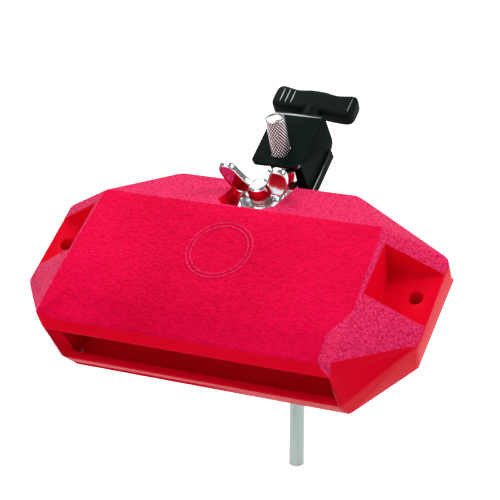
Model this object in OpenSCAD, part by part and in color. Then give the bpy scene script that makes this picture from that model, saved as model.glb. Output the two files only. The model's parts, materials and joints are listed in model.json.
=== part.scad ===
// Moulded jam block on a rod clamp.
// Millimetres. +Z is up, along the rod's plain leg, and the origin is the middle of the leg's lower end.
// The block frame has its origin at the middle of the ridge: X to the right, Y back along the batter
// face and Z square to that face. The clamp shares it, and it is pitched nose-down on the rod.

/* [Block outline] */
// Width over the two end rims
rim_w = 244; // [220:1:270]
// Width of the batter face at the ridge
ridge_w = 174; // [160:1:180]
// Width of the batter face at its front
batter_w = 180; // [170:1:190]
// Depth of the batter face, from the ridge to the front corners
batter_d = 91; // [80:1:100]
// Height from the batter face to the underside
block_h = 54; // [50:1:62]
// Drop from the batter face to the end rims
rim_drop = 23.5; // [20:0.5:26]
// Distance from the ridge forward to the rim's front corner
rim_front = 56; // [50:1:62]
// Distance from the ridge back to the rim's rear corner
rim_back = 2; // [0:0.5:6]
// Wall of the moulding
wall = 5; // [3.5:0.5:6]

/* [Sound slot] */
// Width of the slot
slot_w = 172; // [150:1:174]
// Height of the slot
slot_h = 27; // [20:1:29]
// Drop from the batter face to the slot's top edge
slot_drop = 12; // [10:0.5:13]

/* [End ears] */
// Length of each recess along the end
ear_l = 35; // [28:1:38]
// Width of the batter face's shoulder beside each recess
ear_inset = 1; // [0:0.5:2]
// Diameter of the blind hole in each ear
ear_hole_d = 8.2; // [6:0.1:9]
// Depth of that hole below the recess's floor
ear_hole_depth = 18; // [10:0.5:20]

/* [Mounting notch] */
// Width of the notch behind the ridge
notch_w = 35; // [33:0.5:40]
// Depth of the notch's floor below the batter face
notch_drop = 20; // [18:0.5:22]
// Distance of the mounting bolt behind the ridge
bolt_y = 23.3; // [21:0.1:25]

/* [Rod] */
// Diameter of the plain leg
rod_d = 9.5; // [9:0.1:10]
// Diameter over the knurled sleeve
sleeve_d = 11.2; // [10.8:0.1:12]
// Height of the bend above the leg's lower end
leg_h = 143; // [130:1:160]
// Distance along the arm from the bend up to the clamp's top plate
arm_l = 70; // [68:1:76]
// Length of the arm above the clamp's top plate
arm_top = 23; // [20:1:30]
// Lean of the arm from the vertical, in degrees
rod_lean = 21.2; // [20:0.1:23]
// Pitch of the block from the horizontal, in degrees
block_tilt = 35.6; // [34.5:0.1:36.5]

/* [Clamp] */
// Width of the clamp frame
clamp_w = 30.5; // [29:0.5:33]
// Depth of the clamp frame
clamp_d = 43; // [41:0.5:46]
// Height of the clamp frame
clamp_h = 30; // [29:0.5:31]
// Thickness of the clamp frame's steel
clamp_t = 2.3; // [2:0.1:2.5]
// Drop from the batter face to the clamp's top plate
clamp_drop = 13.9; // [13:0.1:14.5]
// Distance of the clamp's front edge behind the ridge
clamp_y = 44.5; // [44:0.1:45]
// Distance of the rod behind the ridge, at the top plate
rod_y = 55.6; // [55.2:0.1:56]
// Radius of the bend at the rear of the top plate
fold_r = 5; // [4:0.5:6]
// Height of the foot's upturned flange, outside the right wall
flange_h = 6; // [4:0.5:8]
// Diameter of the eye bolt's shank
shank_d = 6; // [5.5:0.1:6.2]
// Wall of the eye bolt's ring
eye_wall = 2.6; // [2.2:0.1:2.7]

/* [T-handle] */
// Length of the grip bar
grip_w = 53; // [45:1:60]
// Depth of the grip bar
grip_d = 16.6; // [14:0.1:18]
// Thickness of the grip bar
grip_t = 10; // [8:0.1:11]
// Turn of the handle about its screw as it rests, in degrees
grip_turn = 4; // [-20:1:20]
// Diameter of the handle's hub
hub_d = 12.4; // [11.5:0.1:13]
// Length of the hub between its washer and the grip bar
hub_reach = 7.7; // [6:0.1:12]

/* [Wing nut] */
// Thread size of the mounting bolt
bolt_d = 7.9; // [7.4:0.1:8]
// Height of the wing nut's hub
nut_h = 8.4; // [8:0.1:9]
// Diameter of the hub's base
nut_base_d = 15; // [14:0.5:16]
// Diameter of the hub's crown
nut_crown_d = 11; // [10.5:0.5:12]
// Span over the two wings
wing_span = 42; // [38:1:44]
// Height of the wings above the hub's base
wing_h = 22.5; // [20:0.5:24]
// Thickness of a wing
wing_t = 4.2; // [3.5:0.1:4.5]

/* [Hidden] */
$fn = 64;

// Clearances
run_gap = 0.05;
fit_gap = 0.02;
free_gap = 0.3;
over = 1;

// Block outline, the parts of it that the driving sizes leave open
rim_rear_set = 1;
rim_rear_w = rim_w - 2 * rim_rear_set;
lip_w = 176;
lip_drop = 9.9;
lip_forward = 3;
chin_w = 173;
chin_drop = 39;
chin_forward = 2;
sole_front_w = 173;
sole_back_set = 3.5;
sole_corner_w = 228;
sole_corner_set = 5;
sole_side_w = 229;
sole_side_back = 11;
back_w = 113;
back_d = 33;
back_drop = 17.6;
sole_tail_w = 114;
sole_tail_d = 35;

// Nose: creases across the front of the batter face, where it rolls down to the lip
crease_y = 58.5;
nose_w = 160.5;
nose_upper_y = 73;
nose_upper_drop = 1.3;
nose_lower_y = 90;
nose_lower_drop = 5.6;

// Inside of the block
bulkhead_t = 4;
cover_t = 3;
cover_top = block_h - cover_t;
ear_floor_t = 5;
ear_boss_d = 18;
ear_back = 9;
ear_y = ear_back + ear_l / 2;
ear_x = 110;
mount_block_w = 48;
cover_screw_d = 3;
cover_screw_l = 14;
cover_screw_head_d = 6;
cover_screw_head_t = 1.6;
cover_boss_d = 9;
cover_boss_lap = 1;
cover_boss_x = slot_w / 2 + bulkhead_t + cover_boss_d / 2 - cover_boss_lap;
rear_boss_set = 21;
rear_boss_x = sole_side_w / 2 - rear_boss_set;
cover_corner_set = 1.2;

// Ring place on the batter face: two plain raised rings
ring_y = 31;
ring_outer_d = 39.4;
ring_inner_d = 34.4;
ring_line = 0.9;
ring_lift = 0.4;

// Rod
bend_r = 30;
bend_reach = bend_r * tan(rod_lean / 2);
bend_lap = 0.5;
sleeve_start = 12;
sleeve_chamfer = 1.2;
sleeve_top = arm_l + arm_top;
plug_t = 1.6;
plug_sink = 0.25;
rod_tilt = block_tilt - rod_lean;
plate_y = -arm_l * sin(rod_lean);
plate_z = leg_h + arm_l * cos(rod_lean);
block_y = plate_y - rod_y * cos(block_tilt) - clamp_drop * sin(block_tilt);
block_z = plate_z - rod_y * sin(block_tilt) + clamp_drop * cos(block_tilt);

// Clamp, worked out downwards from its top plate
clamp_back_y = clamp_y + clamp_d;
foot_top = clamp_drop + clamp_h - clamp_t;
foot_bottom = clamp_drop + clamp_h;
foot_front = 10;
foot_rear_set = 8;
foot_back = clamp_back_y - foot_rear_set;
flange_front = sole_tail_d + free_gap;
frame_corner_r = 3;
wall_corner_r = 5.5;
back_rise = 4;
screw_rise = 0.46;
screw_drop = clamp_drop + clamp_h / 2 - screw_rise;
rod_to_screw = (screw_drop - clamp_drop) / cos(rod_tilt);
rod_y_at_screw = rod_y - rod_to_screw * sin(rod_tilt);
bush_t = 1.4;
bush_h = 9;
bush_slit = 1.5;
bush_bore_d = sleeve_d + 2 * run_gap;
bush_d = bush_bore_d + 2 * bush_t;
eye_play = 0.75;
eye_bore_d = bush_d + 2 * eye_play + 2 * run_gap;
eye_d = eye_bore_d + 2 * eye_wall;
eye_h = 8;
eye_y = rod_y_at_screw + eye_play;

// Handle
handle_washer_t = 1.6;
handle_washer_d = 15;
hub_y = clamp_back_y + handle_washer_t;
grip_y = hub_y + hub_reach;
insert_d = 9.2;
insert_reach = 2;
insert_l = hub_reach + insert_reach;
shank_set = 4;
shank_end_y = grip_y + grip_d - shank_set;
hub_lap = 3;
hub_end_y = grip_y + hub_lap;
finger_hollow = 1.6;
rib_lift = 0.4;
rib_w = 1;
rib_pitch = 3.5;
rib_first = 13.6;

// Parts on the mounting bolt, worked out upwards from the notch's floor
mount_plate_t = 2;
flat_washer_t = 1.8;
flat_washer_d = 27;
spring_washer_t = 1.8;
spring_washer_d = 14;
spring_washer_slit = 1.4;
plate_top = notch_drop - mount_plate_t;
flat_top = plate_top - flat_washer_t;
nut_seat = flat_top - spring_washer_t;
nut_bore_d = bolt_d + 2 * run_gap;
washer_bore_d = bolt_d + 2 * free_gap;
notch_front = 1.7;
notch_corner = 5;
plate_side_gap = 1;
plate_front_gap = 1.5;
mount_plate_w = notch_w - 2 * plate_side_gap;
mount_plate_front = notch_front + plate_front_gap;
mount_plate_back = 31;
pad_t = 1;
pocket_side_gap = 1;
pocket_front_gap = 2;
pocket_w = clamp_w + 2 * pocket_side_gap;
pocket_front = foot_front - pocket_front_gap;
shelf_under = foot_top - pad_t;
foot_washer_t = 2;
foot_washer_w = 22;
neck_w = 8.2;
neck_l = foot_washer_t + 0.7 * clamp_t;
head_d = 18;
head_t = 4;
head_top = foot_bottom + foot_washer_t;
bolt_sink = 0.6;
bolt_end = nut_seat - nut_h + bolt_sink;

module convex(points) {
    hull() polyhedron(points = points, faces = [for (i = [0:len(points) - 3]) [i, i + 1, i + 2]]);
}

function both_sides(half) = concat(half, [for (p = half) [-p[0], p[1], p[2]]]);

module in_block() {
    translate([0, block_y, block_z]) rotate([block_tilt, 0, 0]) children();
}

// Moves the rod's own frame, with Z up the arm and zero at the top plate, into the block frame
module on_rod() {
    translate([0, rod_y, -clamp_drop]) rotate([-rod_tilt, 0, 0]) children();
}

module tube(outer_d, inner_d, height) {
    difference() {
        cylinder(d = outer_d, h = height);
        translate([0, 0, -over]) cylinder(d = inner_d, h = height + 2 * over);
    }
}

// Half of the block's outline, drawn in by the inset on every side
function block_half(inset, sole) = [
    [ridge_w / 2 - inset, 0, -inset],
    [batter_w / 2 - inset, -crease_y, -inset],
    [nose_w / 2 - inset, -nose_upper_y + inset / 2, -nose_upper_drop - inset],
    [nose_w / 2 - inset, -nose_lower_y + inset, -nose_lower_drop - inset],
    [lip_w / 2 - inset, -batter_d - lip_forward + inset, -lip_drop - inset],
    [chin_w / 2 - inset, -batter_d - chin_forward + inset, -chin_drop],
    [sole_front_w / 2 - inset, -batter_d + sole_back_set + inset, -sole],
    [sole_corner_w / 2 - inset, -rim_front + sole_corner_set + inset / 2, -sole],
    [sole_side_w / 2 - inset, sole_side_back - inset / 2, -sole],
    [sole_tail_w / 2 - inset / 2, sole_tail_d - inset, -sole],
    [rim_w / 2 - inset, -rim_front + inset / 2, -rim_drop - inset],
    [rim_rear_w / 2 - inset, rim_back - inset / 2, -rim_drop - inset],
    [back_w / 2 - inset / 2, back_d - inset, -back_drop - inset],
];

// Small facet beside each end of the nose, where the batter face's corner stands above the roll
function nose_corner(side) = [
    [side * batter_w / 2, -crease_y, 0],
    [side * batter_w / 2, -batter_d, 0],
    [side * nose_w / 2, -nose_upper_y, -nose_upper_drop],
    [side * nose_w / 2, -nose_lower_y, -nose_lower_drop],
    [side * lip_w / 2, -batter_d - lip_forward, -lip_drop],
    [side * rim_w / 2, -rim_front, -rim_drop],
    [side * chin_w / 2, -batter_d - chin_forward, -chin_drop],
];

module block_outer() {
    convex(both_sides(block_half(0, block_h)));
    for (side = [-1, 1]) convex(nose_corner(side));
}

cover_screw_places = [
    for (side = [-1, 1])
        for (place = [[cover_boss_x, -rim_front],
                      [rear_boss_x, sole_side_back],
                      [mount_block_w / 2, sole_side_back - cover_boss_d / 2]])
            [side * place[0], place[1]]
];

// Solid features that stand inside the hollow body, all ending on the base cover
module block_inner_features() {
    translate([0, 0, -cover_top]) {
        for (side = [-1, 1]) {
            translate([side * (slot_w + bulkhead_t) / 2 - bulkhead_t / 2, -batter_d - wall, 0])
                cube([bulkhead_t, batter_d + 2 * wall, cover_top]);
            translate([side * ear_x, -ear_y, 0]) cylinder(d = ear_boss_d, h = cover_top);
        }
        translate([-slot_w / 2 - over, 0, 0]) cube([slot_w + 2 * over, bulkhead_t, cover_top]);
        translate([-mount_block_w / 2, 0, 0]) cube([mount_block_w, back_d + wall, cover_top]);
        for (place = cover_screw_places) translate([place[0], place[1], 0])
            cylinder(d = cover_boss_d, h = cover_top);
    }
    for (side = [0, 1]) mirror([side, 0, 0])
        translate([batter_w / 2 - wall, -ear_back - ear_l - wall, -rim_drop - ear_floor_t])
            cube([rim_w / 2, ear_l + 2 * wall, rim_drop + ear_floor_t]);
}

// Recess at each end, open to the side and above, with its floor level with the rim
module ear_recess() {
    translate([batter_w / 2 + ear_inset, -ear_back - ear_l, -rim_drop])
        cube([rim_w / 2, ear_l, rim_drop + over]);
}

module notch_cut() {
    half = notch_w / 2;
    front = notch_front;
    tail = back_d + wall;
    translate([0, 0, -notch_drop]) linear_extrude(notch_drop + over)
        polygon([[-half, front + notch_corner], [-half + notch_corner, front],
                 [half - notch_corner, front], [half, front + notch_corner], [half, tail], [-half, tail]]);
}

module block_rings() {
    translate([0, -ring_y, -over]) {
        tube(ring_outer_d, ring_outer_d - 2 * ring_line, over + ring_lift);
        tube(ring_inner_d, ring_inner_d - 2 * ring_line, over + ring_lift);
    }
}

module block_shell() {
    color([0.80, 0.02, 0.07]) in_block() {
        difference() {
            block_outer();
            difference() {
                convex(both_sides(block_half(wall, block_h + over)));
                block_inner_features();
            }
            translate([-slot_w / 2, -batter_d - 2 * wall, -slot_drop - slot_h])
                cube([slot_w, 3 * wall, slot_h]);
            for (side = [0, 1]) mirror([side, 0, 0]) ear_recess();
            for (side = [-1, 1]) translate([side * ear_x, -ear_y, -rim_drop - ear_hole_depth])
                cylinder(d = ear_hole_d, h = ear_hole_depth + over);
            notch_cut();
            translate([-pocket_w / 2, pocket_front, -block_h - over])
                cube([pocket_w, back_d + 2 * wall, block_h + over - shelf_under]);
            translate([0, bolt_y, -block_h]) cylinder(d = washer_bore_d, h = block_h);
            for (place = cover_screw_places)
                translate([place[0], place[1], -cover_top - over])
                    cylinder(d = cover_screw_d + 2 * fit_gap, h = cover_screw_l + over);
        }
        block_rings();
    }
}

// Outline of the base cover: the sole's outline drawn in by the wall and a clearance
module cover_outline() {
    inset = wall + free_gap;
    half = [
        [sole_front_w / 2 - inset, -batter_d + sole_back_set + inset],
        [sole_corner_w / 2 - inset, -rim_front + sole_corner_set + inset / 2],
        [sole_side_w / 2 - inset, sole_side_back - inset / 2 - cover_corner_set],
        [sole_tail_w / 2 - inset / 2, sole_tail_d - inset],
    ];
    polygon(concat(half, [for (i = [len(half) - 1:-1:0]) [-half[i][0], half[i][1]]]));
}

module base_cover() {
    color([0.62, 0.02, 0.06]) in_block() translate([0, 0, -block_h]) difference() {
        linear_extrude(cover_t - fit_gap) cover_outline();
        for (place = cover_screw_places) translate([place[0], place[1], -over]) {
            cylinder(d = cover_screw_d + 2 * free_gap, h = cover_t + 2 * over);
            cylinder(d = cover_screw_head_d + 2 * free_gap, h = over + cover_screw_head_t);
        }
    }
}

module base_screws() {
    color([0.35, 0.35, 0.37]) in_block()
        for (place = cover_screw_places) translate([place[0], place[1], -block_h]) {
            cylinder(d = cover_screw_head_d, h = cover_screw_head_t);
            cylinder(d = cover_screw_d, h = cover_t + cover_screw_l - over);
        }
}

// The bend is a hair thinner than the straight lengths, whose ends it laps into
module mounting_rod() {
    color([0.78, 0.79, 0.81]) {
        cylinder(d = rod_d, h = leg_h - bend_reach + bend_lap);
        translate([0, -bend_r, leg_h - bend_reach]) rotate([0, 90, 0]) rotate([0, 0, 90])
            rotate_extrude(angle = rod_lean) translate([bend_r, 0]) circle(d = rod_d - fit_gap);
        translate([0, 0, leg_h]) rotate([rod_lean, 0, 0]) translate([0, 0, bend_reach - bend_lap])
            cylinder(d = rod_d, h = sleeve_top - plug_t - bend_reach + bend_lap - fit_gap);
    }
}

module knurled_sleeve() {
    rim = sleeve_d / 2;
    tall = sleeve_top - sleeve_start;
    color([0.83, 0.84, 0.86]) in_block() on_rod() translate([0, 0, -arm_l + sleeve_start]) difference() {
        rotate_extrude()
            polygon([[0, 0], [rim - sleeve_chamfer, 0], [rim, sleeve_chamfer],
                     [rim, tall - sleeve_chamfer], [rim - sleeve_chamfer, tall], [0, tall]]);
        translate([0, 0, -over]) cylinder(d = rod_d + 2 * fit_gap, h = tall + 2 * over);
    }
}

module rod_end_plug() {
    color([0.80, 0.81, 0.83]) in_block() on_rod()
        translate([0, 0, arm_top - plug_t]) cylinder(d = rod_d, h = plug_t - plug_sink);
}

module rod_bush() {
    color([0.16, 0.16, 0.17]) in_block() on_rod() translate([0, 0, -rod_to_screw - bush_h / 2])
        difference() {
            tube(bush_d, bush_bore_d, bush_h);
            translate([0, -bush_slit / 2, -over]) cube([bush_d, bush_slit, bush_h + 2 * over]);
        }
}

// Bore along the rod through the clamp's plates
module rod_bore() {
    on_rod() translate([0, 0, -2 * clamp_h]) cylinder(d = sleeve_d + 2 * free_gap, h = 3 * clamp_h);
}

module rounded_plate(left, right, front, back, height) {
    r = frame_corner_r;
    linear_extrude(height) {
        translate([left, front + r]) square([right - left, back - front - r]);
        translate([left + r, front]) square([right - left - 2 * r, r]);
        translate([left + r, front + r]) circle(r);
        translate([right - r, front + r]) circle(r);
    }
}

// The right wall seen from the side, Y across and Z up, with its rear corners rounded
module wall_outline() {
    front = clamp_y + frame_corner_r;
    back = clamp_back_y;
    low = -foot_top;
    high = -clamp_drop - clamp_t / 2;
    roof = -clamp_drop - fold_r;
    translate([front, -foot_bottom]) square([foot_back - front, foot_bottom + high]);
    translate([front, low]) square([back - wall_corner_r - front, high - low]);
    translate([front, low + wall_corner_r]) square([back - front, roof - low - wall_corner_r]);
    translate([back - wall_corner_r, low + wall_corner_r]) circle(wall_corner_r);
    translate([back - fold_r, roof]) circle(fold_r - clamp_t / 2);
}

module clamp_frame() {
    left = -clamp_w / 2;
    right = clamp_w / 2;
    flange_l = foot_back - flange_front;
    flange_r = clamp_t / 2;
    color([0.06, 0.06, 0.065]) in_block() difference() {
        union() {
            translate([0, 0, -clamp_drop - clamp_t])
                rounded_plate(left, right, clamp_y, clamp_back_y - fold_r, clamp_t);
            translate([left, clamp_back_y - fold_r, -clamp_drop - fold_r])
                rotate([90, 0, 90]) fold_strip(clamp_w);
            translate([right - clamp_t, 0, 0]) rotate([90, 0, 90]) linear_extrude(clamp_t) wall_outline();
            translate([left, foot_front, -foot_bottom]) cube([clamp_w, foot_back - foot_front, clamp_t]);
            translate([right, flange_front, -foot_bottom]) cube([clamp_t, flange_l, flange_h - flange_r]);
            translate([right + flange_r, flange_front, -foot_bottom + flange_h - flange_r])
                rotate([-90, 0, 0]) cylinder(r = flange_r, h = flange_l);
        }
        rod_bore();
        translate([-neck_w / 2 - run_gap, bolt_y - neck_w / 2 - run_gap, -foot_bottom - over])
            cube([neck_w + 2 * run_gap, neck_w + 2 * run_gap, clamp_t + 2 * over]);
    }
}

// Quarter-round bend of the frame's sheet, in its own frame, with the sheet on the outside
module fold_strip(length) {
    intersection() {
        tube(2 * fold_r, 2 * (fold_r - clamp_t), length);
        cube([fold_r, fold_r, length]);
    }
}

// Rear plate, set under the bend and against the right wall
module clamp_back() {
    inner_w = clamp_w - clamp_t;
    color([0.07, 0.07, 0.075]) in_block() difference() {
        translate([-clamp_w / 2, clamp_back_y - clamp_t, -foot_top + back_rise])
            cube([inner_w, clamp_t, foot_top - back_rise - clamp_drop - fold_r]);
        screw_bore(shank_d + 2 * free_gap);
    }
}

// Bore along the eye bolt's shank
module screw_bore(d) {
    translate([0, clamp_y, -screw_drop]) rotate([-90, 0, 0]) cylinder(d = d, h = clamp_d + grip_d + over);
}

module eye_bolt() {
    color([0.80, 0.81, 0.83]) in_block() {
        difference() {
            union() {
                eye_frame() translate([0, 0, -eye_h / 2]) cylinder(d = eye_d, h = eye_h);
                translate([0, eye_y + eye_bore_d / 2, -screw_drop]) rotate([-90, 0, 0])
                    cylinder(d = shank_d, h = shank_end_y - eye_y - eye_bore_d / 2);
            }
            eye_frame() translate([0, 0, -eye_h]) cylinder(d = eye_bore_d, h = 2 * eye_h);
        }
    }
}

module eye_frame() {
    translate([0, eye_y, -screw_drop]) rotate([-rod_tilt, 0, 0]) children();
}

module handle_washer() {
    color([0.75, 0.76, 0.78]) in_block() translate([0, clamp_back_y + fit_gap, -screw_drop])
        rotate([-90, 0, 0]) tube(handle_washer_d, shank_d + 2 * free_gap, handle_washer_t - 2 * fit_gap);
}

module handle_nut() {
    color([0.72, 0.60, 0.30]) in_block() translate([0, hub_y + fit_gap, -screw_drop])
        rotate([-90, 0, 0]) tube(insert_d, shank_d + 2 * run_gap, insert_l);
}

// Outline of the grip bar: a round-ended bar with two shallow finger hollows in its rear edge
module grip_outline() {
    r = grip_d / 4;
    half = grip_w / 2;
    difference() {
        union() {
            translate([-half + r, 0]) square([grip_w - 2 * r, grip_d]);
            translate([-half, r]) square([grip_w, grip_d - 2 * r]);
            for (x = [-half + r, half - r]) for (y = [r, grip_d - r]) translate([x, y]) circle(r);
        }
        for (side = [-1, 1]) translate([side * half / 2, grip_d + half - finger_hollow]) circle(half);
    }
}

module about_screw() {
    translate([0, 0, -screw_drop]) rotate([0, grip_turn, 0]) translate([0, 0, screw_drop]) children();
}

module t_handle() {
    color([0.05, 0.05, 0.055]) in_block() about_screw() difference() {
        union() {
            translate([0, grip_y, -screw_drop - grip_t / 2]) linear_extrude(grip_t) grip_outline();
            translate([0, hub_y, -screw_drop]) rotate([-90, 0, 0]) cylinder(d = hub_d, h = hub_end_y - hub_y);
            for (i = [0:2])
                translate([-rib_first - i * rib_pitch - rib_w / 2, grip_y + grip_d / 6, -screw_drop])
                    cube([rib_w, grip_d * 2 / 3, grip_t / 2 + rib_lift]);
        }
        translate([0, hub_y - over, -screw_drop]) rotate([-90, 0, 0])
            cylinder(d = insert_d + 2 * fit_gap, h = insert_l + 2 * fit_gap + over);
        translate([0, hub_y, -screw_drop]) rotate([-90, 0, 0])
            cylinder(d = shank_d + 2 * free_gap, h = shank_end_y - hub_y + over);
    }
}

module mount_plate() {
    half = mount_plate_w / 2;
    corner = notch_corner;
    color([0.78, 0.79, 0.81]) in_block() translate([0, 0, -notch_drop]) difference() {
        linear_extrude(mount_plate_t)
            polygon([[-half, mount_plate_front + corner], [-half + corner, mount_plate_front],
                     [half - corner, mount_plate_front], [half, mount_plate_front + corner],
                     [half, mount_plate_back], [-half, mount_plate_back]]);
        translate([0, bolt_y, -over]) cylinder(d = washer_bore_d, h = mount_plate_t + 2 * over);
    }
}

module wing_nut_washer() {
    color([0.84, 0.85, 0.87]) in_block() translate([0, bolt_y, -plate_top])
        tube(flat_washer_d, washer_bore_d, flat_washer_t);
}

module spring_washer() {
    color([0.68, 0.69, 0.71]) in_block() translate([0, bolt_y, -flat_top]) difference() {
        tube(spring_washer_d, washer_bore_d, spring_washer_t);
        translate([0, -spring_washer_slit / 2, -over])
            cube([spring_washer_d, spring_washer_slit, spring_washer_t + 2 * over]);
    }
}

// One wing seen from the front: a paddle from the hub out to a round tip
module wing_outline() {
    tip_r = wing_span / 9;
    foot_r = nut_h / 3;
    tip = [wing_span / 2 - tip_r, wing_h - tip_r];
    shoulder = [wing_span / 2 - tip_r * 0.9, wing_h / 2];
    foot = [nut_base_d / 2 + foot_r / 2, foot_r + fit_gap];
    hull() {
        translate(tip) circle(tip_r);
        translate(shoulder) circle(tip_r * 0.9);
        translate(foot) circle(foot_r);
    }
    hull() {
        translate(foot) circle(foot_r);
        translate([nut_crown_d / 3, foot_r + fit_gap]) circle(foot_r);
        translate([nut_crown_d / 3, nut_h - foot_r]) circle(foot_r / 2);
    }
}

module wing_nut() {
    crown_r = nut_crown_d / 2;
    color([0.82, 0.83, 0.85]) in_block() translate([0, bolt_y, -nut_seat]) difference() {
        union() {
            rotate_extrude() polygon([[0, 0], [nut_base_d / 2, 0], [nut_base_d / 2, nut_h / 5],
                                      [crown_r, nut_h * 0.8], [crown_r * 0.8, nut_h], [0, nut_h]]);
            for (side = [0, 1]) mirror([side, 0, 0]) translate([0, wing_t / 2, 0]) rotate([90, 0, 0])
                linear_extrude(wing_t) wing_outline();
        }
        translate([0, 0, -over]) cylinder(d = nut_bore_d, h = wing_h);
    }
}

module mount_bolt() {
    color([0.72, 0.73, 0.75]) in_block() translate([0, bolt_y, -head_top]) {
        cylinder(d = bolt_d, h = head_top - bolt_end);
        translate([-neck_w / 2, -neck_w / 2, 0]) cube([neck_w, neck_w, neck_l]);
        translate([0, 0, -head_t]) rotate_extrude()
            polygon([[0, 0], [head_d / 4, 0], [head_d / 2, head_t * 0.7], [head_d / 2, head_t], [0, head_t]]);
    }
}

module foot_washer() {
    color([0.70, 0.71, 0.73]) in_block() translate([0, bolt_y, -head_top]) difference() {
        translate([-foot_washer_w / 2, -foot_washer_w / 2, 0])
            cube([foot_washer_w, foot_washer_w, foot_washer_t]);
        translate([-neck_w / 2 - run_gap, -neck_w / 2 - run_gap, -over])
            cube([neck_w + 2 * run_gap, neck_w + 2 * run_gap, foot_washer_t + 2 * over]);
    }
}

module foot_pad() {
    color([0.13, 0.13, 0.14]) in_block() difference() {
        translate([-clamp_w / 2, foot_front, -foot_top]) cube([clamp_w, back_d - foot_front, pad_t]);
        translate([0, bolt_y, -foot_top - over]) cylinder(d = washer_bore_d, h = pad_t + 2 * over);
    }
}

mounting_rod();
knurled_sleeve();
rod_end_plug();
rod_bush();
clamp_frame();
clamp_back();
eye_bolt();
handle_washer();
handle_nut();
t_handle();
block_shell();
base_cover();
base_screws();
foot_pad();
foot_washer();
mount_bolt();
mount_plate();
wing_nut_washer();
spring_washer();
wing_nut();
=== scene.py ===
import json
import math
import bmesh
import bpy
import numpy as np
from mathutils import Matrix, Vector


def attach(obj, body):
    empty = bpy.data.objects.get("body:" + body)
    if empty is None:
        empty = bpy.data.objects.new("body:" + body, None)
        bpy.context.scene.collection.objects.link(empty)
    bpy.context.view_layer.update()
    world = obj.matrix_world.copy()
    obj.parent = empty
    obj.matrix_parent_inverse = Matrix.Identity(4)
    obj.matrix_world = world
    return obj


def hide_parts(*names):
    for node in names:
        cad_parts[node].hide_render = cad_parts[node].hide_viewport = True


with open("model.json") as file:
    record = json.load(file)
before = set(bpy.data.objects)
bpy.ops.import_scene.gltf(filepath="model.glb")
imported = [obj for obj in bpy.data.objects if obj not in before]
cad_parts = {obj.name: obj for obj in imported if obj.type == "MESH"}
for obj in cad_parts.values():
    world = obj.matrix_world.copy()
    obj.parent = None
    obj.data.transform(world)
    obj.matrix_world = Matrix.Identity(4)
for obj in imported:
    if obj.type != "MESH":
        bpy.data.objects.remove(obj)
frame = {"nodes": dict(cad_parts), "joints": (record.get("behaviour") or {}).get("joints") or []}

nodes = frame["nodes"]
joints = {joint["name"]: joint for joint in frame["joints"]}
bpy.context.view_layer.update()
mm = 0.001
print("frame loaded,", len(nodes), "nodes")

# The block's own axes and origin, taken from its joints: x right, y back along the batter face, z square to
# it. The bolt stands that far back from the ridge, and the nut's seat lies that far below the batter face.
blockSet = {"boltBack": 23.3, "nutSeatDrop": 14.4}
rightWay = np.array([1.0, 0.0, 0.0])
blockBack = np.array(joints["handle_turn"]["axis"])
blockUp = np.array(joints["washer_lift"]["axis"])
nutSeat = np.array(joints["wing_nut_turn"]["pos_m"])
blockOrigin = nutSeat - blockSet["boltBack"] * mm * blockBack + blockSet["nutSeatDrop"] * mm * blockUp
blockPlace = (blockOrigin, rightWay, blockBack, blockUp)

# The rod's axes, with its origin where its middle passes the clamp's top plate and z up the arm
armUp = np.array(joints["clamp_slide"]["axis"])
armBack = np.cross(armUp, rightWay)
armOrigin = np.array(joints["clamp_swivel"]["pos_m"])
armPlace = (armOrigin, rightWay, armBack, armUp)

# The handle's axes: its origin on its washer, z back along the eye bolt and y up, turned by the degrees at
# which the handle rests
handleTurn = 4.0
handleRest = math.radians(handleTurn)
handleOrigin = np.array(joints["handle_turn"]["pos_m"])
handleRight = rightWay * math.cos(handleRest) - blockUp * math.sin(handleRest)
handleUp = rightWay * math.sin(handleRest) + blockUp * math.cos(handleRest)
handlePlace = (handleOrigin, handleRight, handleUp, blockBack)


# Millimetres in a place's own axes to metres in the frame: origin + x right + y back + z up
def placed(points, place):
    origin, right, back, up = place
    points = np.asarray(points, float) * mm
    return origin + points[..., :1] * right + points[..., 1:2] * back + points[..., 2:3] * up


# The other way round: metres in the frame to millimetres along a place's axes
def inPlace(points, place):
    origin, right, back, up = place
    return (np.asarray(points, float) - origin) @ np.stack([right, back, up], 1) / mm


# A line with its corners eased: each corner becomes a curve from the point one radius before it
# to the point one radius after it, pulled towards the corner, and takes at most a share of the shorter
# stretch beside it. The ends of an open line stay.
def softCorners(points, radius, steps=5, share=0.49):
    points = np.asarray(points, float)
    before, after = np.roll(points, 1, 0) - points, np.roll(points, -1, 0) - points
    reach = np.minimum(np.linalg.norm(before, axis=1), np.linalg.norm(after, axis=1)) * share
    cut = np.minimum(radius, reach)[:, None]
    start = points + before / np.linalg.norm(before, axis=1)[:, None] * cut
    stop = points + after / np.linalg.norm(after, axis=1)[:, None] * cut
    t = np.linspace(0, 1, steps)[None, :, None]
    eased = (1 - t) ** 2 * start[:, None] + 2 * t * (1 - t) * points[:, None] + t ** 2 * stop[:, None]
    return np.concatenate([points[:1], eased[1:-1].reshape(-1, points.shape[1]), points[-1:]])


# A closed line through the points: on each stretch a cubic that leaves and enters along the line
# between its neighbours, taken at evenly spaced places
def smoothLoop(points, count):
    points = np.asarray(points, float)
    t = np.arange(count) * len(points) / count
    i = t.astype(int)
    f = (t - i)[:, None]
    p0, p1, p2, p3 = (points[(i + k) % len(points)] for k in (-1, 0, 1, 2))
    return 0.5 * (2 * p1 + (p2 - p0) * f + (2 * p0 - 5 * p1 + 4 * p2 - p3) * f ** 2
                  + (3 * p1 - p0 - 3 * p2 + p3) * f ** 3)


# A grid from a profile of radius and height, carried round the z axis
def turned(profile, count):
    profile = np.asarray(profile, float)
    angle = np.arange(count) * 2 * math.pi / count
    radius, height = profile[:, :1], profile[:, 1:2]
    return np.stack([radius * np.cos(angle), radius * np.sin(angle), height + 0 * angle], -1)


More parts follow.
